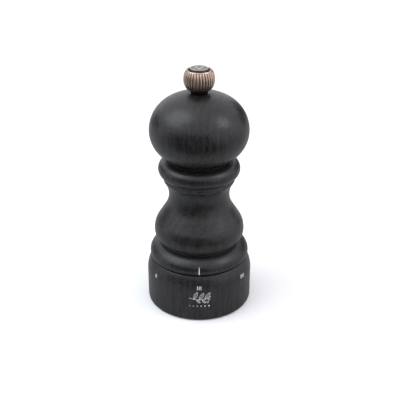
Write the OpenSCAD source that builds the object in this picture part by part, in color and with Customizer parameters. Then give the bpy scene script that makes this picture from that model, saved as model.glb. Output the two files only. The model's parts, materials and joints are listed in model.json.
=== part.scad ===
// Turned wooden pepper mill with a grind-setting ring at its base.
// Frame: origin on the floor at the centre of the base, +Z up the spindle, -Y the front.
// Seen from above, the setting ring turns on its thread and lifts or lowers the outer burr.

/* [Setting ring] */
// Outer radius of the wooden ring
ring_radius = 26.25; // [26:0.05:26.4]
// Height of the wooden ring
ring_height = 24.3; // [24.2:0.05:24.35]
// Radius of the rounding over the ring's upper edge
ring_shoulder = 14.5; // [13:0.5:16]
// Height where the upper rounding begins
ring_shoulder_start = 15.9; // [15.2:0.1:16.4]
// Angle between two neighbouring settings
setting_step = 55; // [50:1:58]
// Number of grind settings
setting_count = 6; // [4:1:6]
// Height of the middle of the setting marks
mark_height = 18.8; // [18.6:0.1:19.2]

/* [Body] */
// Height of the underside of the body
body_bottom = 24.9; // [24.8:0.05:25]
// Largest radius of the vase-shaped belly
belly_radius = 22.2; // [21.8:0.05:22.5]
// Height of the belly's widest point
belly_height = 38.7; // [38.2:0.1:39.2]
// Smallest radius of the neck
neck_radius = 14.8; // [14.5:0.05:15.1]
// Height of the narrowest point of the neck
neck_height = 57.6; // [57.2:0.1:58]
// Largest radius of the bead under the head
upper_bead_radius = 19.75; // [19.4:0.05:20]
// Height of the top of the body
body_top = 76.45; // [76.4:0.01:76.5]
// Radius of the pepper chamber bored through the body
chamber_radius = 11.4; // [11.3:0.1:11.8]

/* [Head] */
// Largest radius of the ball-shaped head
head_radius = 23.6; // [23.2:0.05:24]
// Height of the head's widest point
head_height = 90.2; // [90:0.1:90.4]
// Height of the underside of the head
head_bottom = 76.65; // [76.6:0.01:76.8]
// Radius of the spigot under the head that turns in the chamber's mouth
spigot_radius = 11.15; // [11:0.05:11.2]

/* [Knob] */
// Largest radius of the ribbed knob
knob_radius = 7.3; // [7.1:0.05:7.5]
// Height of the knob's widest point
knob_height = 114.7; // [114.6:0.05:114.8]
// Number of ribs round the knob
rib_count = 32; // [24:1:36]

/* [Mechanism] */
// Side of the square shaft
shaft_side = 5; // [4.8:0.1:5.1]
// Lead of the setting ring's thread
lift_lead = 2; // [1.8:0.1:2.2]
// Pitch of the thread that holds the knob
stud_pitch = 0.7; // [0.6:0.05:0.8]
// Number of teeth round the inner burr
inner_teeth = 18; // [14:1:20]
// Number of teeth round the outer burr
outer_teeth = 24; // [18:1:26]

/* [Hidden] */
$fn = 96;

front = 270;

// Setting ring and the plastic insert inside it
ring_bore = 21.5;
ring_foot_round = 1.1;
insert_radius = 21.45;
insert_bottom = 2;
insert_top = 23.1;
insert_bore = 17.1;
flange_floor = 19.7;
flange_recess = 20.3;
first_setting = 270 - 2 * setting_step;
print_gap = 0.01;
print_depth = 0.06;

// Lower bead of the body
bead = 9;
bead_tall = 0.728;
bead_x = 15.6;
bead_z = body_bottom + 1.5;

// Fixed mechanism housing
housing_bore = 12;
neck_tube = 17.3;
neck_bottom = 21.4;
flange_radius = 20;
flange_bottom = 19.9;
flange_top = 22.9;
socket_radius = 17.35;
socket_top = 27;
housing_top = 26.9;
bridge_seat = 24;
bridge_radius = 12.9;
tongue_first = 30;
screw_first = 90;
screw_circle = 14.9;
screw_head_top = 23;
detent_circle = 18.65;
detent_angle = 90;

// Burr carrier
carrier_core = 16;
carrier_bottom = 6;
carrier_top = 20;
carrier_bore = 12;
burr_seat = 13.05;
outer_burr_bottom = 7.4;
outer_burr_top = 13.6;
clip_bottom = 6.6;

// Shaft and inner burr
journal_radius = 2.5;
drive_side = 3.6;
shaft_shoulder = 27.8;
shaft_top = 105;
stud_top = 111.4;
inner_burr_bottom = 6.2;
inner_burr_top = 19;

// Head fittings and knob
plate_radius = 9;
plate_screw_circle = 6.4;
ferrule_radius = 4.4;
ferrule_bottom = 102.5;
ferrule_top = 108.3;
collar_radius = 4.15;
collar_bottom = 108.45;
knob_side = 8;
knob_core = 7.65;
knob_rim = 7.9;
knob_span = 35.1;
knob_bottom = knob_height - knob_side * sin(knob_span);
knob_bore = 4.05;
cap_seat = 118.25;
cap_top = 120;

// Points along a round stretch of an outline, from one angle to another, as tall as tall times r
function arc(x, z, r, from, to, steps, tall = 1) =
    [for (i = [0:steps]) let (a = from + (to - from) * i / steps)
        [x + r * cos(a), z + r * tall * sin(a)]];

// Angle of a point on a circle, given how far it lies above the centre
function rise_angle(r, rise) = asin(rise / r);

// ---------------------------------------------------------------- outlines

// Outline of the wooden ring: small foot rounding, straight wall, broad shoulder
module ring_outline() {
    shoulder_end = rise_angle(ring_shoulder, ring_height - ring_shoulder_start);
    polygon(concat(
        [[ring_bore + 0.6, 0]],
        arc(ring_radius - ring_foot_round, ring_foot_round, ring_foot_round, -90, 0, 6),
        arc(ring_radius - ring_shoulder, ring_shoulder_start, ring_shoulder, 0, shoulder_end, 12),
        [[ring_bore, ring_height], [ring_bore, 0.6]]));
}

// Outline of the body: lower bead, belly, neck, fillet, upper bead and collar
module body_outline() {
    bead_start = rise_angle(bead * bead_tall, body_bottom + 0.45 - bead_z);
    crease = 19.2;
    low_r = 8;
    low_x = belly_radius - low_r;
    high_r = 11.58;
    high_x = belly_radius - high_r;
    waist_r = 13.4;
    waist_x = neck_radius + waist_r;
    throat_r = 12;
    throat_x = neck_radius + throat_r;
    run = waist_x - high_x;
    climb = neck_height - belly_height;
    tangent = atan2(climb, run) - acos((high_r + waist_r) / norm([run, climb]));
    fillet = 3.2;
    fillet_rise = 8.5;
    fillet_z = neck_height + fillet_rise;
    fillet_from = rise_angle(throat_r + fillet, fillet_rise);
    fillet_x = throat_x - (throat_r + fillet) * cos(fillet_from);
    top_bead = 4.3;
    top_bead_x = upper_bead_radius - top_bead;
    top_bead_z = neck_height + 13.4;
    polygon(concat(
        [[bead_x + bead - 0.85, body_bottom]],
        arc(bead_x, bead_z, bead, bead_start, 66, 14, bead_tall),
        arc(low_x, belly_height, low_r, -acos((crease - low_x) / low_r), 0, 12),
        arc(high_x, belly_height, high_r, 3, tangent, 6),
        arc(waist_x, neck_height, waist_r, 180 + tangent, 180, 8),
        arc(throat_x, neck_height, throat_r, 176, 180 - fillet_from, 6),
        arc(fillet_x, fillet_z, fillet, 1 - fillet_from, 2, 5),
        [[17.1, fillet_z + 0.5]],
        arc(top_bead_x, top_bead_z, top_bead, -65, 100, 18),
        [[14.25, body_top - 1.4], [14.25, body_top - 0.3], [14.4, body_top]],
        [[chamber_radius + 0.5, body_top], [chamber_radius, body_top - 0.5],
            [chamber_radius, socket_top], [socket_radius, socket_top],
            [socket_radius, body_bottom]]));
}

// Outline of the head: a flattened ball over a stepped spigot with a through bore
module head_outline() {
    low_r = 15;
    low_x = head_radius - low_r;
    low_from = -rise_angle(low_r, head_height - head_bottom - 0.3);
    high_r = 16.9;
    high_x = head_radius - high_r;
    crown_r = 31.1;
    crown_join = 62;
    crown_z = head_height + high_r * sin(crown_join) - crown_r * sin(crown_join);
    bore = 3.9;
    seat = 4.5;
    polygon(concat(
        [[low_x + low_r * cos(low_from) - 0.3, head_bottom]],
        arc(low_x, head_height, low_r, low_from, 0, 14),
        arc(high_x, head_height, high_r, 4, crown_join, 14),
        arc(0, crown_z, crown_r, crown_join + 2, 81.7, 7),
        [[seat, 102.4], [bore, 102.4], [bore, 70.1], [9.1, 70.1], [9.1, 68.4], [10.6, 68.4],
            [spigot_radius, 69], [spigot_radius, head_bottom]]));
}

// ------------------------------------------------------------ shared shapes

// Ring with a square section
module tube(outer, inner, bottom, top) {
    translate([0, 0, bottom]) difference() {
        cylinder(r = outer, h = top - bottom);
        translate([0, 0, -1]) cylinder(r = inner, h = top - bottom + 2);
    }
}

// Copies its children at even angles about the spindle
module around(count, first = 0) {
    for (i = [0:count - 1]) rotate(first + i * 360 / count) children();
}

// Closed tube swept along a helix about Z
module coil(radius, wire, bottom, top, turns, sides = 8, steps = 20) {
    total = round(turns * steps);
    lift = (top - bottom - 2 * wire) / total;
    points = [for (i = [0:total], j = [0:sides - 1])
        let (a = i * 360 / steps, b = j * 360 / sides, r = radius + wire * cos(b))
        [r * cos(a), r * sin(a), bottom + wire + i * lift + wire * sin(b)]];
    skin = [for (i = [0:total - 1], j = [0:sides - 1])
        let (k = (j + 1) % sides)
        [i * sides + j, i * sides + k, (i + 1) * sides + k, (i + 1) * sides + j]];
    polyhedron(points, concat(skin, [[for (j = [sides - 1:-1:0]) j],
        [for (j = [0:sides - 1]) total * sides + j]]));
}

// Helical ridge of a screw thread, widest on the side that is set into its wall
module ridge(buried, tip, pitch, bottom, turns, base_width, tip_width, steps) {
    total = round(turns * steps);
    section = [[buried, 0], [tip, (base_width - tip_width) / 2],
        [tip, (base_width + tip_width) / 2], [buried, base_width]];
    points = [for (i = [0:total], p = section)
        let (a = i * 360 / steps)
        [p[0] * cos(a), p[0] * sin(a), bottom + p[1] + pitch * i / steps]];
    flip = tip > buried;
    skin = [for (i = [0:total - 1], j = [0:3])
        let (k = (j + 1) % 4, quad = [i * 4 + j, i * 4 + k, i * 4 + 4 + k, i * 4 + 4 + j])
        flip ? quad : [quad[3], quad[2], quad[1], quad[0]]];
    first = [3, 2, 1, 0];
    last = [for (j = [0:3]) total * 4 + j];
    caps = flip ? [first, last] : [[0, 1, 2, 3], [for (j = [3:-1:0]) total * 4 + j]];
    polyhedron(points, concat(skin, caps));
}

// --------------------------------------------------------------- sub-parts

module wooden_ring() {
    color("#2f3032") rotate_extrude() ring_outline();
}

// Section of a thin print on the ring: straight up the wall, then over the shoulder
module ring_print_section(low, high) {
    x = ring_radius - ring_shoulder;
    from = rise_angle(ring_shoulder, max(low - ring_shoulder_start, 0));
    to = rise_angle(ring_shoulder, high - ring_shoulder_start);
    foot = min(low, ring_shoulder_start);
    wall = low < ring_shoulder_start;
    polygon(concat(
        wall ? [[ring_radius + print_gap, foot]] : [],
        arc(x, ring_shoulder_start, ring_shoulder + print_gap, from, to, 4),
        arc(x, ring_shoulder_start, ring_shoulder + print_depth, to, from, 4),
        wall ? [[ring_radius + print_depth, foot]] : []));
}

// Tally bars: as many bars as the number of the setting
module setting_marks() {
    bar_angle = 0.7;
    bar_step = 1.85;
    bar_height = 1.9;
    color("white") for (n = [1:setting_count], bar = [1:n])
        rotate(first_setting + (n - 1) * setting_step + (bar - (n + 1) / 2) * bar_step)
            rotate(-bar_angle / 2) rotate_extrude(angle = bar_angle)
                ring_print_section(mark_height - bar_height / 2, mark_height + bar_height / 2);
}

// Leaf drawn as the lens where two discs cross
module leaf(length, width) {
    r = (length * length + width * width) / (4 * width);
    intersection() {
        translate([0, r - width / 2]) circle(r);
        translate([0, width / 2 - r]) circle(r);
    }
}

// Line drawing of a leaf whose stalk end lies at the origin
module leaf_drawing(length, width, line) {
    translate([length / 2, 0]) difference() {
        leaf(length, width);
        leaf(length - 3.2 * line, width - 2 * line);
    }
    translate([line, -line / 2]) square([length * 0.72, line]);
}

// Flat motif: a lying sprig with leaves and peppercorns over a row of dots, fine to coarse
module sprig() {
    line = 0.16;
    stem_radius = 15;
    stem_low = 4.4;
    leaf_step = 2.7;
    berry = 0.55;
    intersection() {
        translate([0, stem_low + stem_radius]) difference() {
            circle(stem_radius + line / 2);
            circle(stem_radius - line / 2);
        }
        translate([-4.9, stem_low - 1]) square([9.4, 3]);
    }
    for (i = [-1:1]) let (x = leaf_step * i)
        translate([x, stem_low + x * x / (2 * stem_radius)]) rotate(60 - 6 * i)
            leaf_drawing(4.5, 1.7, line);
    for (i = [-0.5:1:0.5]) let (x = leaf_step * i)
        translate([x, stem_low + x * x / (2 * stem_radius)]) rotate(-48 - 4 * i)
            leaf_drawing(2.8, 1.2, line);
    for (spot = [[4.75, 4.35], [4.1, 2.95], [5, 5.75]]) translate(spot) difference() {
        circle(berry);
        circle(berry - line);
    }
    for (i = [0:5]) translate([(i - 2.5) * 1.9, 0.7]) circle(0.18 + 0.04 * i);
}

module ring_emblem() {
    emblem_bottom = 7.95;
    emblem_width = 13;
    color("white") intersection() {
        rotate(front - emblem_width) rotate_extrude(angle = 2 * emblem_width)
            ring_print_section(6, 18);
        translate([0, 0, emblem_bottom]) rotate([90, 0, 0]) linear_extrude(ring_radius + 2)
            sprig();
    }
}

module adjusting_insert() {
    color("#26272a") difference() {
        union() {
            tube(insert_radius, insert_bore, insert_bottom, insert_top);
            ridge(insert_bore + 0.3, 16.2, lift_lead, 6.2, 6, 1.05, 0.4, 36);
        }
        translate([0, 0, flange_floor]) cylinder(r = flange_recess, h = 5);
        for (n = [1:setting_count])
            rotate(detent_angle + (n - 3) * setting_step)
                translate([detent_circle, 0, flange_floor + 0.65]) sphere(0.9);
    }
}

module retaining_ring() {
    color("#202124") tube(21.4, 17.6, insert_top, insert_top + 1);
}

module wooden_body() {
    color("#2f3032") difference() {
        rotate_extrude() body_outline();
        around(3, screw_first) translate([screw_circle, 0, socket_top - 1])
            cylinder(r = 1, h = 5.2);
    }
}

// White tapering line on the front of the lower bead
module pointer_mark() {
    color("white") intersection() {
        rotate(front - 2) rotate_extrude(angle = 4) polygon(concat(
            arc(bead_x, bead_z, bead + print_gap, -7, 28, 14, bead_tall),
            arc(bead_x, bead_z, bead + print_depth, 28, -7, 14, bead_tall)));
        rotate([90, 0, 0]) linear_extrude(40)
            polygon([[-0.24, 0], [0.24, 0], [0.24, 27.2], [0.1, 29.2], [-0.1, 29.2],
                [-0.24, 27.2]]);
    }
}

// Fixed plastic housing: neck, hanging flange, tongues that stop the burr carrier turning
module mechanism_housing() {
    color("#1d1e20") difference() {
        union() {
            tube(neck_tube, housing_bore, neck_bottom, housing_top);
            tube(flange_radius, neck_tube - 0.4, neck_bottom, flange_top);
            tube(flange_radius, neck_tube, flange_bottom, flange_top);
            around(3, tongue_first) translate([12.3, -2, 15]) cube([2, 4, 7]);
        }
        translate([0, 0, bridge_seat]) cylinder(r = bridge_radius + 0.1, h = 5);
        around(3, screw_first) translate([screw_circle, 0, neck_bottom - 1]) {
            cylinder(r = 1.05, h = 8);
            cylinder(r = 1.9, h = screw_head_top - neck_bottom + 1);
        }
        rotate(detent_angle) translate([detent_circle, 0, flange_bottom - 1])
            cylinder(r = 0.85, h = 3.5);
    }
}

// Pan-head screws that hold the housing in the body
module housing_screws() {
    color("#b9bcc0") around(3, screw_first) translate([screw_circle, 0, 0]) difference() {
        union() {
            translate([0, 0, 21.5]) cylinder(r = 1.8, h = screw_head_top - 21.5);
            translate([0, 0, 22]) cylinder(r = 0.95, h = 9);
        }
        for (turn = [0, 90]) rotate(turn) translate([-1.1, -0.22, 21]) cube([2.2, 0.44, 1.1]);
    }
}

module detent_ball() {
    color("#c9ccd0") rotate(detent_angle) translate([detent_circle, 0, 20.55]) sphere(0.8);
}

module detent_spring() {
    color("#c9ccd0") rotate(detent_angle) translate([detent_circle, 0, 0])
        coil(0.6, 0.12, 21.4, 22.35, 3, 6, 12);
}

// Three-armed spider that carries the spindle across the pepper's path
module bridge() {
    color("#a9adb2") difference() {
        union() {
            tube(bridge_radius, 11.6, bridge_seat, housing_top);
            translate([0, 0, bridge_seat]) cylinder(r = 4.5, h = housing_top - bridge_seat);
            around(3, tongue_first) translate([3.5, -1.5, bridge_seat + 0.2])
                cube([8.8, 3, 2.4]);
        }
        translate([0, 0, bridge_seat - 1]) cylinder(r = 3.4, h = 5);
    }
}

module bridge_bush() {
    color("#b08d4f") difference() {
        union() {
            tube(3.38, journal_radius + 0.05, bridge_seat - 0.3, housing_top);
            tube(4.2, journal_radius + 0.05, bridge_seat - 0.65, bridge_seat - 0.02);
        }
    }
}

module thrust_washer() {
    color("#e6e6e2") tube(4.3, journal_radius + 0.1, housing_top + 0.02, shaft_shoulder - 0.05);
}

// Threaded carrier that slides on the housing's tongues as the ring turns
module burr_carrier() {
    color("#232427") difference() {
        union() {
            translate([0, 0, carrier_bottom])
                cylinder(r = carrier_core, h = carrier_top - carrier_bottom);
            ridge(carrier_core - 0.3, 16.9, lift_lead, 7.1, 4.5, 1.4, 0.6, 36);
        }
        translate([0, 0, carrier_bottom - 1]) cylinder(r = carrier_bore, h = 20);
        translate([0, 0, carrier_bottom - 1])
            cylinder(r = burr_seat, h = outer_burr_top - carrier_bottom + 1.05);
        tube(burr_seat + 0.65, burr_seat - 1, clip_bottom - 0.05, clip_bottom + 0.75);
        translate([0, 0, carrier_top - 1]) cylinder(r1 = carrier_bore, r2 = 13.2, h = 1.01);
        around(3, tongue_first) translate([11, -2.2, 13.8]) cube([3.7, 4.4, 8]);
    }
}

// Toothed steel ring with its throat wide above and narrow below
module outer_burr() {
    color("#8f9399") difference() {
        rotate_extrude() polygon([[11.6, outer_burr_bottom], [13, outer_burr_bottom],
            [13, outer_burr_top], [11.7, outer_burr_top], [10.9, 9.6]]);
        around(outer_teeth) translate([10.95, 0, 7]) rotate([16, -4, 0]) rotate(45)
            cube([0.7, 0.7, 12]);
    }
}

module outer_burr_clip() {
    color("#b9bcc0") rotate(20) rotate_extrude(angle = 320)
        translate([12.2, clip_bottom]) square([1.4, 0.7]);
}

// Square shaft with a journal, a lower drive and a threaded stud at each end
module shaft() {
    thread_core = 1.45;
    stud_core = 1.65;
    color("#b4b8bd") union() {
        intersection() {
            translate([-shaft_side / 2, -shaft_side / 2, shaft_shoulder])
                cube([shaft_side, shaft_side, shaft_top - shaft_shoulder]);
            cylinder(r = 3.4, h = 130);
        }
        translate([0, 0, inner_burr_top])
            cylinder(r = journal_radius, h = shaft_shoulder - inner_burr_top + 0.5);
        intersection() {
            translate([-drive_side / 2, -drive_side / 2, inner_burr_bottom])
                cube([drive_side, drive_side, inner_burr_top - inner_burr_bottom + 0.5]);
            cylinder(r = 2.4, h = 30);
        }
        translate([0, 0, 2.7]) cylinder(r = thread_core, h = 4);
        ridge(thread_core - 0.15, 1.7, 0.5, 2.8, 6, 0.4, 0.12, 18);
        translate([0, 0, shaft_top - 0.5])
            cylinder(r = stud_core, h = stud_top - shaft_top + 0.5);
        ridge(stud_core - 0.2, 2, stud_pitch, shaft_top + 0.1, 8, stud_pitch * 0.8, 0.12, 18);
    }
}

// Steel cone with coarse breaking flutes above and fine teeth below
module inner_burr() {
    color("#8f9399") difference() {
        rotate_extrude() polygon([[0, inner_burr_bottom], [11.2, inner_burr_bottom], [11.2, 7],
            [9, 13.6], [6.2, inner_burr_top], [0, inner_burr_top]]);
        around(inner_teeth) translate([11.3, 0, 5]) rotate([-18, -18.4, 0]) rotate(45)
            translate([-0.35, -0.35, 0]) cube([0.8, 0.8, 10]);
        around(6, 10) translate([9.6, 0, 11.5]) rotate([-30, -24, 0]) cylinder(r = 1.7, h = 14);
        translate([-1.85, -1.85, 0]) cube([3.7, 3.7, 30]);
    }
}

module burr_spring() {
    color("#c9ccd0") coil(3.3, 0.3, inner_burr_top + 0.05, bridge_seat - 0.75, 4.5);
}

module burr_washer() {
    color("#b9bcc0") tube(3.7, 1.8, 5.5, inner_burr_bottom - 0.05);
}

module burr_nut() {
    color("#c3a25a") difference() {
        translate([0, 0, 3]) cylinder(r = 3.2, h = 2.45, $fn = 6);
        translate([0, 0, 2]) cylinder(r = 1.75, h = 5);
    }
}

module wooden_head() {
    color("#2f3032") difference() {
        rotate_extrude() head_outline();
        around(2) translate([plate_screw_circle, 0, 69]) cylinder(r = 1.05, h = 7.5);
    }
}

// Steel plate under the head whose square hole is driven by the shaft
module drive_plate() {
    hole = shaft_side + 0.3;
    color("#a9adb2") difference() {
        translate([0, 0, 68.6]) cylinder(r = plate_radius, h = 1.45);
        translate([-hole / 2, -hole / 2, 60]) cube([hole, hole, 20]);
        around(2) translate([plate_screw_circle, 0, 68.55]) cylinder(r1 = 2.3, r2 = 1.2, h = 1.1);
        around(2) translate([plate_screw_circle, 0, 60]) cylinder(r = 1.2, h = 20);
    }
}

module drive_plate_screws() {
    color("#c3c6ca") around(2) translate([plate_screw_circle, 0, 0]) difference() {
        union() {
            translate([0, 0, 68.62]) cylinder(r1 = 2.15, r2 = 1.05, h = 1.05);
            translate([0, 0, 69]) cylinder(r = 0.98, h = 6.5);
        }
        for (turn = [0, 90]) rotate(turn) translate([-1.2, -0.2, 68]) cube([2.4, 0.4, 1.2]);
    }
}

module head_ferrule() {
    color("#9a9ea3") tube(ferrule_radius, 3.5, ferrule_bottom, ferrule_top);
}

module knob_washer() {
    color("#151515") tube(collar_radius, 3.15, collar_bottom, knob_bottom - 0.05);
}

// Threaded insert pressed into the knob; its nose clamps down on the shaft's shoulder
module knob_insert() {
    color("#1b1b1c") difference() {
        union() {
            translate([0, 0, shaft_top + 0.05]) cylinder(r = 3, h = 8);
            translate([0, 0, knob_bottom]) cylinder(r = knob_bore - 0.04, h = 7.8);
        }
        translate([0, 0, shaft_top - 1]) cylinder(r = 2.05, h = 8.5);
    }
}

module knob_shell() {
    x = knob_radius - knob_side;
    pitch = 360 / rib_count;
    color("#a58d7f") union() {
        rotate_extrude() polygon(concat(
            arc(x, knob_height, knob_rim, -knob_span, -30, 3),
            arc(x, knob_height, knob_core, -28.2, 31, 16),
            arc(x, knob_height, knob_rim, 32.5, knob_span, 2),
            [[5, cap_seat + 0.9], [4.9, cap_seat], [knob_bore, cap_seat],
                [knob_bore, knob_bottom]]));
        around(rib_count) rotate(-pitch / 4) rotate_extrude(angle = pitch / 2) polygon(concat(
            arc(x, knob_height, knob_side, -29, 31.8, 8),
            arc(x, knob_height, knob_core - 0.25, 31.8, -29, 8)));
    }
}

// Steel disc let into the knob's crown, embossed with three peppercorns
module knob_cap() {
    disc_radius = 4.3;
    color("#a8a4a0") union() {
        translate([0, 0, cap_seat + 0.02]) cylinder(r = disc_radius - 0.25, h = 1);
        translate([0, 0, cap_seat + 0.4]) cylinder(r = disc_radius, h = cap_top - cap_seat - 0.6);
        around(3, 30) translate([1.6, 0, cap_top - 0.5]) cylinder(r = 1.1, h = 0.5);
    }
}

wooden_ring();
setting_marks();
ring_emblem();
adjusting_insert();
retaining_ring();
wooden_body();
pointer_mark();
mechanism_housing();
housing_screws();
detent_ball();
detent_spring();
bridge();
bridge_bush();
thrust_washer();
burr_carrier();
outer_burr();
outer_burr_clip();
shaft();
inner_burr();
burr_spring();
burr_washer();
burr_nut();
wooden_head();
drive_plate();
drive_plate_screws();
head_ferrule();
knob_washer();
knob_insert();
knob_shell();
knob_cap();
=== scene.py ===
"""Looks of a turned wooden pepper mill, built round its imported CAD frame."""
import json
import math

import bmesh
import bpy
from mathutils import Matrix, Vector


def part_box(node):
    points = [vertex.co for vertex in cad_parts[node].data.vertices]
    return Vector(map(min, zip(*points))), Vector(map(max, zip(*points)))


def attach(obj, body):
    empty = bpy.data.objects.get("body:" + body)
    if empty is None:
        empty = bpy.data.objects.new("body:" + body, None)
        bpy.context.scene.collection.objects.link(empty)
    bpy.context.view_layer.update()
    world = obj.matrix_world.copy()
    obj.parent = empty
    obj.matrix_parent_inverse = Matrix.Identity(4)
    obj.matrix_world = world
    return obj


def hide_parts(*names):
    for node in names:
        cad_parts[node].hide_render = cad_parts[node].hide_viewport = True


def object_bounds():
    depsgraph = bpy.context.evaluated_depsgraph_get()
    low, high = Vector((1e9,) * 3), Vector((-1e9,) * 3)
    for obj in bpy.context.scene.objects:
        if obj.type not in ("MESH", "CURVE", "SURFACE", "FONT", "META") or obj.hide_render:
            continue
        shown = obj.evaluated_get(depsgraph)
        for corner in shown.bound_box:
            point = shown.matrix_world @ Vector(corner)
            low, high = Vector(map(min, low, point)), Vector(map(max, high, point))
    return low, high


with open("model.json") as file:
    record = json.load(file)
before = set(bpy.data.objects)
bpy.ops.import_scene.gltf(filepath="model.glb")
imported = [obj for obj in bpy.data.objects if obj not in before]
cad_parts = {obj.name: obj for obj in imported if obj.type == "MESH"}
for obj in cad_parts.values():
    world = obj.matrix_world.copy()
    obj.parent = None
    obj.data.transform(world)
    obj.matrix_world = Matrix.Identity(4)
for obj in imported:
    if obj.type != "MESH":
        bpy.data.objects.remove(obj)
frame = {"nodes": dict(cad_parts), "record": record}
cad_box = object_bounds()

MM = 0.001
TURNED_STEPS = 256
SMALL_STEPS = 128
SHARP_ANGLE = math.radians(32)  # edges sharper than this are shaded sharp
CORNER_ANGLE = math.radians(30)  # outline corners sharper than this are rounded
CORNER_SHARE = 0.45  # the most of an edge that one rounding takes
CORNER_STEPS = 3


# ------------------------------------------------------------------ meshes

def arc(x, z, radius, start, stop, steps, tall=1.0):
    """Points along a round stretch of an outline, in millimetres and degrees."""
    turns = [math.radians(start + (stop - start) * i / steps) for i in range(steps + 1)]
    return [(x + radius * math.cos(a), z + radius * tall * math.sin(a)) for a in turns]


def rounded(points, radius):
    """The same closed outline with its sharp corners rounded."""
    result = []
    for i, here in enumerate(points):
        here = Vector(here)
        before = Vector(points[i - 1]) - here
        after = Vector(points[(i + 1) % len(points)]) - here
        if math.pi - before.angle(after) < CORNER_ANGLE:
            result.append(tuple(here))
            continue
        cut = min(radius, before.length * CORNER_SHARE, after.length * CORNER_SHARE)
        start, stop = here + before.normalized() * cut, here + after.normalized() * cut
        for k in range(CORNER_STEPS + 1):
            t = k / CORNER_STEPS
            point = start * (1 - t) ** 2 + here * 2 * t * (1 - t) + stop * t * t
            result.append(tuple(point))
    return result


def shade(mesh):
    """Smooth shading, with the real edges left sharp."""
    mesh.shade_smooth()
    mesh.set_sharp_from_angle(angle=SHARP_ANGLE)


def add_object(name, mesh_builder, smooth=True):
    """A new object from a bmesh."""
    mesh = bpy.data.meshes.new(name)
    mesh_builder.normal_update()
    mesh_builder.to_mesh(mesh)
    mesh_builder.free()
    obj = bpy.data.objects.new(name, mesh)
    bpy.context.scene.collection.objects.link(obj)
    if smooth:
        shade(mesh)
    return obj


def turned(name, outline, steps=TURNED_STEPS, swell=None):
    """A solid of revolution about Z from a closed outline of (radius, height) in mm.

    swell(angle, radius, height) gives extra radius, for ribs.
    """
    bm = bmesh.new()
    rings = []
    for i in range(steps):
        angle = 2 * math.pi * i / steps
        ring = []
        for radius, height in outline:
            spread = radius + (swell(angle, radius, height) if swell else 0)
            ring.append(bm.verts.new((spread * math.cos(angle) * MM,
                                      spread * math.sin(angle) * MM, height * MM)))
        rings.append(ring)
    count = len(outline)
    for i in range(steps):
        here, there = rings[i], rings[(i + 1) % steps]
        for j in range(count):
            k = (j + 1) % count
            bm.faces.new((here[j], there[j], there[k], here[k]))
    bmesh.ops.recalc_face_normals(bm, faces=bm.faces)
    return add_object(name, bm)


# --------------------------------------------------------------- materials

# Numbers of a Mix node's sockets when it mixes colours.
MIX_FACTOR, MIX_FIRST, MIX_SECOND, MIX_RESULT = 0, 6, 7, 2


def feed(tree, socket, value):
    """Gives an input its value: another node's socket, or a constant."""
    if isinstance(value, bpy.types.NodeSocket):
        tree.links.new(value, socket)
    else:
        socket.default_value = value


def add(tree, kind, inputs=None, **settings):
    """One shader node, with its settings and its inputs, given as values or as sockets."""
    node = tree.nodes.new("ShaderNode" + kind)
    for name, value in settings.items():
        setattr(node, name, value)
    for name, value in (inputs or {}).items():
        feed(tree, node.inputs[name], value)
    return node


def ramp(tree, factor, stops):
    """A colour ramp; each stop is (position, colour or grey)."""
    node = add(tree, "ValToRGB", {"Fac": factor})
    elements = node.color_ramp.elements
    while len(elements) < len(stops):
        elements.new(0.5)
    for element, (position, colour) in zip(elements, stops):
        if not isinstance(colour, tuple):
            colour = (colour, colour, colour)
        element.position = position
        element.color = (*colour, 1)
    return node.outputs["Color"]


def fit_range(tree, value, low, high):
    """Stretches a 0 to 1 value to the range low to high."""
    node = add(tree, "MapRange", {"Value": value, "To Min": low, "To Max": high})
    return node.outputs["Result"]


def step_between(tree, value, start, stop):
    """Goes from 0 to 1 as the value goes from start to stop."""
    node = add(tree, "MapRange", {"Value": value, "From Min": start, "From Max": stop})
    return node.outputs["Result"]


def place(tree, scale=(1, 1, 1), offset=(0, 0, 0)):
    """Object coordinates, stretched and shifted."""
    coords = add(tree, "TexCoord")
    mapped = add(tree, "Mapping", {"Vector": coords.outputs["Object"], "Scale": scale,
                                   "Location": offset})
    return mapped.outputs["Vector"]


def noise(tree, vector, scale, detail=3.0, roughness=0.55, distortion=0.0):
    """Cloudy noise from 0 to 1."""
    node = add(tree, "TexNoise", {"Vector": vector, "Scale": scale, "Detail": detail,
                                  "Roughness": roughness, "Distortion": distortion})
    return node.outputs["Fac"]


def math_node(tree, operation, *values):
    """One operation on one or two values."""
    node = add(tree, "Math", operation=operation)
    for socket, value in zip(node.inputs, values):
        feed(tree, socket, value)
    return node.outputs[0]


def weighted(tree, first, first_share, second, second_share):
    """The sum of two values, each times its share."""
    return math_node(tree, "ADD", math_node(tree, "MULTIPLY", first, first_share),
                     math_node(tree, "MULTIPLY", second, second_share))


def distance(tree, first, second):
    """The length of the line that goes this far along two square axes."""
    return math_node(tree, "SQRT", math_node(
        tree, "ADD", math_node(tree, "MULTIPLY", first, first),
        math_node(tree, "MULTIPLY", second, second)))


def mix_colour(tree, factor, first, second):
    """The first colour where the factor is 0, the second where it is 1."""
    node = add(tree, "Mix", data_type="RGBA")
    for number, value in ((MIX_FACTOR, factor), (MIX_FIRST, first), (MIX_SECOND, second)):
        feed(tree, node.inputs[number], (*value, 1) if isinstance(value, tuple) else value)
    return node.outputs[MIX_RESULT]


def bump(tree, height, depth, strength=1.0, under=None):
    """Surface relief, depth in metres, laid over another relief if one is given."""
    inputs = {"Height": height, "Distance": depth, "Strength": strength}
    if under:
        inputs["Normal"] = under
    return add(tree, "Bump", inputs).outputs["Normal"]


def material(name, **settings):
    """An empty principled material: (material, node tree, shader)."""
    made = bpy.data.materials.new(name)
    made.use_nodes = True
    tree = made.node_tree
    shader = tree.nodes["Principled BSDF"]
    for socket, value in settings.items():
        shader.inputs[socket.replace("_", " ")].default_value = value
    return made, tree, shader


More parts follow.
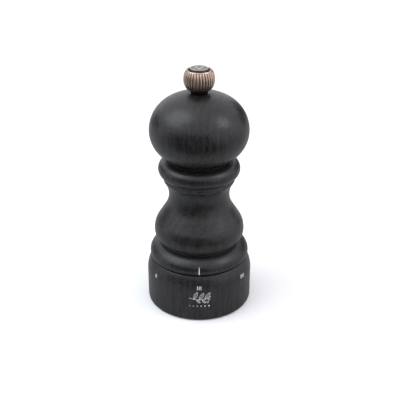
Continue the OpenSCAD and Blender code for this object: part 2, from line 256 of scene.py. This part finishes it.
def link(tree, shader, **sockets):
    """Links node sockets into the shader's inputs of those names."""
    for name, socket in sockets.items():
        tree.links.new(socket, shader.inputs[name.replace("_", " ")])


def stained_wood(name, offset):
    """Beech stained black under a matt lacquer: rings, rays, pores and turning marks.

    The offset is the piece's place in the blank, so that no two pieces share a grain.
    """
    made, tree, shader = material(name, Specular_IOR_Level=0.46)
    along = place(tree, scale=(1, 1, 0.07), offset=offset)
    broad = noise(tree, along, 70, detail=4, distortion=0.6)
    rings = add(tree, "TexWave", {"Vector": along, "Scale": 95, "Distortion": 5.5,
                                  "Detail": 3, "Detail Scale": 1.6},
                wave_type="RINGS", rings_direction="Z").outputs["Fac"]
    fibres = noise(tree, place(tree, scale=(1, 1, 0.045)), 1300, detail=5, roughness=0.75)
    rays = noise(tree, place(tree, scale=(1, 1, 0.2)), 900, detail=2)
    pores = ramp(tree, noise(tree, place(tree, scale=(1, 1, 0.06)), 2600, detail=2),
                 [(0.34, 0.0), (0.44, 1.0)])
    stain = ramp(tree, weighted(tree, rings, 0.45, broad, 0.55),
                 [(0.2, (0.0025, 0.0025, 0.0027)), (0.5, (0.0062, 0.0062, 0.0066)),
                  (0.8, (0.0118, 0.0117, 0.0122))])
    streaked = mix_colour(tree, ramp(tree, fibres, [(0.38, 0.0), (0.66, 0.8)]), stain,
                          (0.0175, 0.0173, 0.018))
    flecked = mix_colour(tree, ramp(tree, rays, [(0.58, 0.0), (0.7, 0.55)]), streaked,
                         (0.028, 0.0275, 0.0275))
    colour = mix_colour(tree, pores, (0.001, 0.001, 0.001), flecked)
    lathe = place(tree, scale=(0.06, 0.06, 1))
    turning = noise(tree, lathe, 900, detail=3, roughness=0.7)
    relief = bump(tree, fibres, 0.00005, 0.4)
    relief = bump(tree, turning, 0.00008, 0.5, under=relief)
    relief = bump(tree, pores, 0.00005, 0.5, under=relief)
    sheen = fit_range(tree, weighted(tree, turning, 0.6, fibres, 0.4), 0.2, 0.46)
    link(tree, shader, Base_Color=colour, Roughness=sheen, Normal=relief)
    return made


def moulded_plastic(name, colour, light, rough=(0.38, 0.52), **settings):
    """Injection-moulded plastic with a fine spark-eroded grain."""
    made, tree, shader = material(name, **settings)
    spots = noise(tree, place(tree), 5200, detail=2)
    cloud = noise(tree, place(tree), 160, detail=3)
    link(tree, shader, Base_Color=mix_colour(tree, cloud, colour, light),
         Roughness=fit_range(tree, cloud, *rough),
         Normal=bump(tree, spots, 0.00002, 0.4))
    return made


def white_print():
    """Pad-printed ink: slightly uneven and a little worn."""
    made, tree, shader = material("white_print")
    wear = noise(tree, place(tree), 2600, detail=3)
    colour = mix_colour(tree, ramp(tree, wear, [(0.28, 1.0), (0.42, 0.0)]),
                        (0.56, 0.56, 0.55), (0.25, 0.25, 0.25))
    link(tree, shader, Base_Color=colour, Roughness=fit_range(tree, wear, 0.42, 0.6),
         Normal=bump(tree, wear, 0.00001, 0.3))
    return made


def metal(name, colour, dark, rough=(0.2, 0.4), stretch=(1, 1, 1), scale=1500):
    """Machined metal; stretch draws its scratches out along an axis."""
    made, tree, shader = material(name, Metallic=1.0)
    scratches = noise(tree, place(tree, scale=stretch), scale, detail=4, roughness=0.7)
    cloud = noise(tree, place(tree), 140, detail=3)
    tint = ramp(tree, weighted(tree, scratches, 0.6, cloud, 0.4), [(0.3, 0.0), (0.7, 1.0)])
    link(tree, shader, Base_Color=mix_colour(tree, tint, dark, colour),
         Roughness=fit_range(tree, scratches, *rough),
         Normal=bump(tree, scratches, 0.00001, 0.5))
    return made


def ground_steel():
    """Case-hardened burr steel: grey, with turning marks round the axis."""
    made, tree, shader = material("ground_steel", Metallic=1.0)
    marks = add(tree, "TexWave", {"Vector": place(tree), "Scale": 900, "Distortion": 1.5,
                                  "Detail": 2}, wave_type="RINGS",
                rings_direction="Z").outputs["Fac"]
    cloud = noise(tree, place(tree), 260, detail=4)
    colour = mix_colour(tree, ramp(tree, cloud, [(0.3, 0.0), (0.7, 1.0)]),
                        (0.2, 0.205, 0.21), (0.42, 0.43, 0.44))
    link(tree, shader, Base_Color=colour, Roughness=fit_range(tree, cloud, 0.28, 0.48),
         Normal=bump(tree, marks, 0.00002, 0.35))
    return made


def antique_bronze(knob_middle, ball_x, deep, high):
    """Copper plating blackened in the grooves and rubbed bright on the ribs, with painted shade
    darkening its bottom.

    All in metres: the height of the knob's middle, the radius at which its rounded side is
    centred, and how far from that centre the grooves and the ribs' crests lie.
    """
    shade_start, shade_stop, rim_start, rim_stop = -0.0046, -0.002, 0.0041, 0.0045
    made, tree, shader = material("antique_bronze", Metallic=1.0)
    split = add(tree, "SeparateXYZ", {"Vector": place(tree)}).outputs
    out = math_node(tree, "SUBTRACT", distance(tree, split["X"], split["Y"]), ball_x)
    up = math_node(tree, "SUBTRACT", split["Z"], knob_middle)
    crest = step_between(tree, distance(tree, out, up), deep, high)
    grime = noise(tree, place(tree, scale=(1, 1, 0.25)), 700, detail=3)
    worn = math_node(tree, "MULTIPLY", crest, fit_range(tree, grime, 0.92, 1.08))
    colour = ramp(tree, worn, [(0.0, (0.24, 0.16, 0.112)), (0.3, (0.35, 0.25, 0.185)),
                               (0.65, (0.53, 0.4, 0.31)), (1.0, (0.76, 0.605, 0.495))])
    # Painted shade: the knob darkens towards its bottom, under the ball, where shade falls.
    above_painted_shade = step_between(tree, up, shade_start, shade_stop)
    colour = mix_colour(tree, above_painted_shade, (0.12, 0.083, 0.06), colour)
    on_rim = step_between(tree, up, rim_start, rim_stop)
    colour = mix_colour(tree, on_rim, colour, (0.55, 0.43, 0.36))
    hairs = noise(tree, place(tree, scale=(1, 1, 0.1)), 4200, detail=3)
    link(tree, shader, Base_Color=colour, Roughness=fit_range(tree, worn, 0.5, 0.3),
         Normal=bump(tree, hairs, 0.000012, 0.3))
    return made


def recess_shaded_steel(face):
    """Embossed steel, mottled, with painted shade darkening all that lies below its face."""
    made, tree, shader = material("crown_steel", Metallic=1.0)
    height = add(tree, "SeparateXYZ", {"Vector": place(tree)}).outputs["Z"]
    cloud = noise(tree, place(tree), 750, detail=3, roughness=0.6)
    scratches = noise(tree, place(tree, scale=(1, 0.2, 1)), 2600, detail=3)
    # Painted shade: what lies below the face is darkened as if in shadow; the cloud adds mottled
    # tone.
    raised = step_between(tree, height, face - 0.0001, face + 0.00015)
    shade_and_mottle = weighted(tree, raised, 0.6, cloud, 0.55)
    colour = ramp(tree, shade_and_mottle, [(0.15, (0.12, 0.113, 0.106)), (0.5, (0.32, 0.304, 0.287)),
                                 (0.9, (0.55, 0.527, 0.505))])
    link(tree, shader, Base_Color=colour, Roughness=fit_range(tree, scratches, 0.28, 0.5),
         Normal=bump(tree, cloud, 0.0001, 0.5))
    return made


# -------------------------------------------------------- driving dimensions

def top(node):
    """The height of a CAD node's highest point, in millimetres."""
    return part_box(node)[1].z / MM


def bottom(node):
    """The height of a CAD node's lowest point, in millimetres."""
    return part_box(node)[0].z / MM


def reach(node):
    """How far a CAD node goes out along X, in millimetres."""
    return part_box(node)[1].x / MM


RING_RADIUS = reach("wooden_ring")
RING_TOP = top("wooden_ring")
BODY_BOTTOM = bottom("wooden_body")
BODY_TOP = top("wooden_body")
HEAD_RADIUS = reach("wooden_head")
KNOB_RADIUS = reach("knob_shell")
KNOB_BOTTOM = bottom("knob_shell")
COLLAR_RADIUS = reach("knob_washer")
HEIGHT = cad_box[1].z / MM

# What no box of a CAD node gives, in millimetres and degrees, as in part.scad.
BELLY_RADIUS, BELLY_HEIGHT = 22.2, 38.7
NECK_RADIUS, NECK_HEIGHT = 14.8, 57.6
HEAD_HEIGHT, HEAD_BOTTOM = 90.2, 76.65
KNOB_HEIGHT, KNOB_SIDE, KNOB_SPAN = 114.7, 8, 35.1
RIBS, RIB_DEPTH = 32, 0.35
KNOB_CORE = KNOB_SIDE - RIB_DEPTH


# ------------------------------------------------------------- wooden pieces

def ring_outline():
    """The setting ring: a straight side that rounds in to a bevelled top edge."""
    foot, shoulder, shoulder_start, bore, bevel = 1.1, 14.5, 15.9, 21.5, 0.4
    bore_chamfer, side_points = 0.6, (5, 10)
    stop = math.degrees(math.asin((RING_TOP - bevel - shoulder_start) / shoulder))
    corner = arc(RING_RADIUS - shoulder, shoulder_start, shoulder, 0, stop, 18)
    return ([(bore + bore_chamfer, 0)]
            + arc(RING_RADIUS - foot, foot, foot, -90, 0, 8)
            + [(RING_RADIUS, height) for height in side_points]
            + corner
            + [(corner[-1][0] - 2 * bevel, RING_TOP), (bore, RING_TOP), (bore, bore_chamfer)])


def body_outline():
    """The body, upwards: bead, belly, neck, bead and rim, then down inside it."""
    bead, bead_tall, bead_x, bead_z = 9, 0.728, 15.6, BODY_BOTTOM + 1.5
    bead_drop, bead_inset = 1.05, 0.85  # where the bead ends, below its centre and in from its side
    crease = 19.2  # radius of the groove between the bead and the belly
    low, high, waist, throat = 8, 11.58, 13.4, 12  # radii of the belly's and the neck's curves
    run = NECK_RADIUS + waist - (BELLY_RADIUS - high)
    climb = NECK_HEIGHT - BELLY_HEIGHT
    tangent = math.degrees(math.atan2(climb, run)
                           - math.acos((high + waist) / math.hypot(run, climb)))
    fillet, fillet_rise = 3.2, 8.5
    fillet_from = math.asin(fillet_rise / (throat + fillet))
    fillet_x = NECK_RADIUS + throat - (throat + fillet) * math.cos(fillet_from)
    fillet_z, fillet_from = NECK_HEIGHT + fillet_rise, math.degrees(fillet_from)
    groove, groove_rise = 17.1, 0.5  # the groove under the upper bead
    top_bead, top_bead_x, top_bead_z = 4.3, 15.45, NECK_HEIGHT + 13.4
    rim, rim_inset, rim_base, rim_edge = 14.4, 14.25, 1.4, 0.3
    chamber, mouth_chamfer, socket, socket_top = 11.4, 0.5, 17.35, 27
    start = -math.degrees(math.asin(bead_drop / (bead * bead_tall)))
    belly_start = -math.degrees(math.acos((crease - BELLY_RADIUS + low) / low))
    return ([(bead_x + bead - bead_inset, BODY_BOTTOM)]
            + arc(bead_x, bead_z, bead, start, 66, 28, bead_tall)
            + arc(BELLY_RADIUS - low, BELLY_HEIGHT, low, belly_start, 0, 20)
            + arc(BELLY_RADIUS - high, BELLY_HEIGHT, high, 3, tangent, 10)
            + arc(NECK_RADIUS + waist, NECK_HEIGHT, waist, 180 + tangent, 180, 12)
            + arc(NECK_RADIUS + throat, NECK_HEIGHT, throat, 177, 180 - fillet_from, 10)
            + arc(fillet_x, fillet_z, fillet, 1 - fillet_from, 2, 8)
            + [(groove, fillet_z + groove_rise)]
            + arc(top_bead_x, top_bead_z, top_bead, -65, 100, 32)
            + [(rim_inset, BODY_TOP - rim_base), (rim_inset, BODY_TOP - rim_edge),
               (rim, BODY_TOP), (chamber + mouth_chamfer, BODY_TOP),
               (chamber, BODY_TOP - mouth_chamfer),
               (chamber, socket_top), (socket, socket_top), (socket, BODY_BOTTOM)])


def head_outline():
    """The head: a ball with a flatter crown, its stepped bore and the spigot below it."""
    low, high, crown = 15, 16.9, 31.1  # radii of its three curves
    join, crown_stop, edge = 62, 81.7, 0.3
    start = -math.degrees(math.asin((HEAD_HEIGHT - HEAD_BOTTOM - edge) / low))
    low_x = HEAD_RADIUS - low
    crown_z = HEAD_HEIGHT + (high - crown) * math.sin(math.radians(join))
    spigot, spigot_nose, bore, seat, plate = 11.15, 10.6, 3.9, 4.5, 9.1
    spigot_bottom, spigot_edge, plate_top, seat_height = 68.4, 69, 70.1, 102.4
    return ([(low_x + low * math.cos(math.radians(start)) - edge, HEAD_BOTTOM)]
            + arc(low_x, HEAD_HEIGHT, low, start, 0, 24)
            + arc(HEAD_RADIUS - high, HEAD_HEIGHT, high, 2.5, join, 24)
            + arc(0, crown_z, crown, join + 1.5, crown_stop, 12)
            + [(seat, seat_height), (bore, seat_height), (bore, plate_top), (plate, plate_top),
               (plate, spigot_bottom), (spigot_nose, spigot_bottom), (spigot, spigot_edge),
               (spigot, HEAD_BOTTOM)])


def make_wood():
    """The three turned pieces, each cut from its own blank."""
    parts = (("turned_ring", "wooden_ring", "adjusting_ring", ring_outline, (0.031, 0.017, 0.0)),
             ("turned_body", "wooden_body", "mill_body", body_outline, (0.024, -0.022, 0.3)),
             ("turned_head", "wooden_head", "head", head_outline, (-0.027, 0.019, 0.7)))
    for name, node, body, outline, blank in parts:
        piece = turned(name, rounded(outline(), 0.25))
        piece.data.materials.append(stained_wood(name + "_wood", blank))
        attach(piece, body)
        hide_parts(node)


# ----------------------------------------------------------------- the knob

def knob_outline():
    """The knob without its ribs: a rounded side, the disc's recess and the bore."""
    seat, seat_radius, bore = 118.25, 4.9, 4.05
    rim_radius, rim_rise = 5.0, 0.75
    return (arc(KNOB_RADIUS - KNOB_SIDE, KNOB_HEIGHT, KNOB_CORE, -KNOB_SPAN, KNOB_SPAN, 44)
            + [(rim_radius, seat + rim_rise), (seat_radius, seat), (bore, seat),
               (bore, KNOB_BOTTOM)])


def rib_swell(angle, radius, height):
    """How far the ribs stand out of the knob's core, fading into a smooth rim at each end."""
    recess_radius, rim_stand = 5.05, 0.8
    top_start, top_length, shade_start, low_length = 28, 4.5, 25.5, 5  # degrees from the middle
    if radius < recess_radius:
        return 0
    latitude = math.degrees(math.asin(max(-1, min(1, (height - KNOB_HEIGHT) / KNOB_CORE))))
    depth = RIB_DEPTH * (radius - KNOB_RADIUS + KNOB_SIDE) / KNOB_CORE
    across = (angle * RIBS / (2 * math.pi)) % 1 * 2 - 1
    rib = 0.5 + 0.5 * math.cos(math.pi * across)
    fade = max(0, min(1, max((latitude - top_start) / top_length,
                             (-latitude - shade_start) / low_length)))
    fade = fade * fade * (3 - 2 * fade)
    return depth * (rib * (1 - fade) + rim_stand * fade)


def make_knob():
    """The ribbed knob and the dark collar under it."""
    steps_per_rib, groove_margin, crest_margin, collar_bore = 12, 0.02, 0.04, 3.15
    shell = turned("ribbed_knob", rounded(knob_outline(), 0.22), steps=RIBS * steps_per_rib,
                   swell=rib_swell)
    shell.data.materials.append(antique_bronze(
        KNOB_HEIGHT * MM, (KNOB_RADIUS - KNOB_SIDE) * MM,
        (KNOB_CORE + groove_margin) * MM, (KNOB_SIDE - crest_margin) * MM))
    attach(shell, "knob")
    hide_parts("knob_shell")

    collar_top, collar_bottom = top("knob_washer"), bottom("knob_washer")
    collar = turned("turned_collar", rounded(
        [(collar_bore, collar_bottom), (COLLAR_RADIUS, collar_bottom),
         (COLLAR_RADIUS, collar_top), (collar_bore, collar_top)], 0.2), steps=SMALL_STEPS)
    # The collar's near-black colour is partly its black plastic and partly painted shade standing
    # in for the dark under the knob.
    collar.data.materials.append(moulded_plastic(
        "collar_plastic", (0.0015,) * 3, (0.003,) * 3, rough=(0.6, 0.75),
        Specular_IOR_Level=0.12))
    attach(collar, "knob_collar")
    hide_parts("knob_washer")


def make_cap():
    """The disc in the knob's crown: a raised rim and three domed peppercorns."""
    base, disc, crest = bottom("knob_cap"), 4.3, HEIGHT - 0.2
    berries, berry_radius, berry_squash, berry_out, berry_sink = 3, 1.12, 0.25, 1.62, 0.1
    first_berry = 30
    outline = [(0.001, base), (disc - 0.25, base), (disc - 0.25, base + 0.4), (disc, base + 0.4),
               (disc, crest), (disc - 0.3, crest + 0.12), (disc - 0.55, crest + 0.1),
               (disc - 0.7, crest - 0.08), (0.001, crest - 0.05)]
    disc_piece = turned("crown_disc", rounded(outline, 0.1), steps=SMALL_STEPS)
    bm = bmesh.new()
    bm.from_mesh(disc_piece.data)
    for i in range(berries):
        angle = math.radians(first_berry + 360 / berries * i)
        centre = Vector((berry_out * math.cos(angle), berry_out * math.sin(angle),
                         crest - berry_sink))
        berry = bmesh.ops.create_uvsphere(bm, u_segments=32, v_segments=16,
                                          radius=berry_radius * MM)
        for vert in berry["verts"]:
            vert.co = Vector((vert.co.x, vert.co.y, vert.co.z * berry_squash)) + centre * MM
    bm.to_mesh(disc_piece.data)
    bm.free()
    shade(disc_piece.data)
    disc_piece.data.materials.append(recess_shaded_steel(crest * MM))
    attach(disc_piece, "knob")
    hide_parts("knob_cap")


# --------------------------------------------------------- carried-over parts

def dress_cad():
    """Gives every CAD node that still shows its finish."""
    black = moulded_plastic("black_plastic", (0.011, 0.011, 0.012), (0.02, 0.02, 0.022))
    nylon = moulded_plastic("nylon", (0.5, 0.49, 0.45), (0.62, 0.61, 0.57))
    burr = ground_steel()
    shaft_steel = metal("drawn_steel", (0.5, 0.51, 0.52), (0.3, 0.3, 0.31),
                        stretch=(1, 1, 0.04), scale=2400)
    plated = metal("zinc_plate", (0.55, 0.56, 0.58), (0.36, 0.37, 0.38), rough=(0.22, 0.4))
    spring = metal("spring_wire", (0.6, 0.6, 0.62), (0.4, 0.4, 0.41), rough=(0.12, 0.25))
    brass = metal("turned_brass", (0.72, 0.53, 0.24), (0.5, 0.34, 0.13), rough=(0.2, 0.36))
    finishes = {"white_print": white_print(), "black_plastic": black, "nylon": nylon,
                "collar_plastic": black, "burr_steel": burr, "shaft_steel": shaft_steel,
                "plated_steel": plated, "spring_steel": spring, "bearing_brass": brass}
    for part in frame["record"]["subparts"]:
        finish = finishes.get(part["material_slot"])
        if finish is None:
            continue
        obj = frame["nodes"][part["node"]]
        obj.data.materials.clear()
        obj.data.materials.append(finish)
        shade(obj.data)


# ------------------------------------------------------------ studio, camera

def make_floor():
    """A pale round floor just under the foot."""
    radius, drop = 3.2, 0.0002
    bm = bmesh.new()
    bmesh.ops.create_circle(bm, cap_ends=True, segments=96, radius=radius)
    floor = add_object("floor", bm, smooth=False)
    made, tree, shader = material("pale_floor", Roughness=0.7)
    cloud = noise(tree, place(tree), 1.2)
    link(tree, shader, Base_Color=mix_colour(tree, cloud, (0.9, 0.9, 0.9), (0.93, 0.93, 0.93)))
    floor.data.materials.append(made)
    floor.location.z = -drop


def softbox(name, spot, aim, size, power, colour):
    """A rectangular light at a spot, turned to face its aim."""
    light = bpy.data.lights.new(name, "AREA")
    light.shape = "RECTANGLE"
    light.size, light.size_y = size
    light.energy = power
    light.color = colour
    obj = bpy.data.objects.new(name, light)
    obj.location = spot
    obj.rotation_mode = "QUATERNION"
    obj.rotation_quaternion = (Vector(aim) - Vector(spot)).to_track_quat("-Z", "Y")
    bpy.context.scene.collection.objects.link(obj)


def make_lights():
    """An even pale surrounding with two softboxes in front, left and right."""
    middle = (0, 0, 0.06)
    softbox("left_softbox", (-0.62, -0.1, 0.9), middle, (0.8, 0.85), 5.4, (0.85, 0.96, 1))
    softbox("right_softbox", (0.8, -0.25, 0.82), middle, (0.4, 0.5), 2.5, (0.97, 0.95, 1))
    world = bpy.data.worlds.new("studio")
    world.use_nodes = True
    background = world.node_tree.nodes["Background"]
    background.inputs["Color"].default_value = (0.965, 0.955, 1, 1)
    background.inputs["Strength"].default_value = 1.1
    bpy.context.scene.world = world
    bpy.context.scene.view_settings.view_transform = "Standard"


def upright(left, right, height):
    """Corners of a flag that stands on the table between two points."""
    return [(*left, 0), (*right, 0), (*right, height), (*left, height)]


def lying(height, *corners):
    """Corners of a flag that lies level."""
    return [(*corner, height) for corner in corners]


def make_flags():
    """Matt flags that only reflections see: they give the wood its dark bands."""
    black, grey_card = 0.012, 0.42
    flags = (("front_flag", black, upright((-2.1, -0.6), (0.75, -1.4), 0.55)),
             ("table_flag", black, lying(0.002, (-1.6, -0.5), (-0.3, -0.095), (0.25, -0.095),
                                         (0.75, -1.4))),
             ("right_rear_flag", black, upright((1.1, 0.58), (0.41, 1.13), 0.5)),
             ("left_rear_flag", black, upright((-1.2, 0.35), (-0.8, 1.0), 0.4)),
             ("grey_table", grey_card, lying(0.0006, (-1.6, -0.8), (1.6, -0.8), (1.6, 1.2),
                                             (-1.6, 1.2))))
    for name, grey, corners in flags:
        bm = bmesh.new()
        bm.faces.new([bm.verts.new(corner) for corner in corners])
        flag = add_object(name, bm, smooth=False)
        made, tree, shader = material(name + "_cloth", Roughness=0.9)
        weave = noise(tree, place(tree), 40)
        link(tree, shader,
             Base_Color=mix_colour(tree, weave, (grey * 0.9,) * 3, (grey * 1.1,) * 3))
        flag.data.materials.append(made)
        flag.visible_camera = False
        flag.visible_diffuse = False
        flag.visible_shadow = False


def make_camera():
    """The photo's camera, as solved from the mill's outline."""
    height, back, pitch_down = 0.21185, 0.3118, 26.96
    data = bpy.data.cameras.new("camera")
    data.sensor_width = 36
    data.lens = 64.1
    data.shift_x = 0.002
    data.clip_start, data.clip_end = 0.01, 20
    camera = bpy.data.objects.new("camera", data)
    camera.location = (0, -back, height)
    camera.rotation_euler = (math.radians(90 - pitch_down), 0, 0)
    bpy.context.scene.collection.objects.link(camera)
    bpy.context.scene.camera = camera


make_camera()
make_lights()
make_floor()
make_flags()
make_wood()
make_knob()
make_cap()
dress_cad()
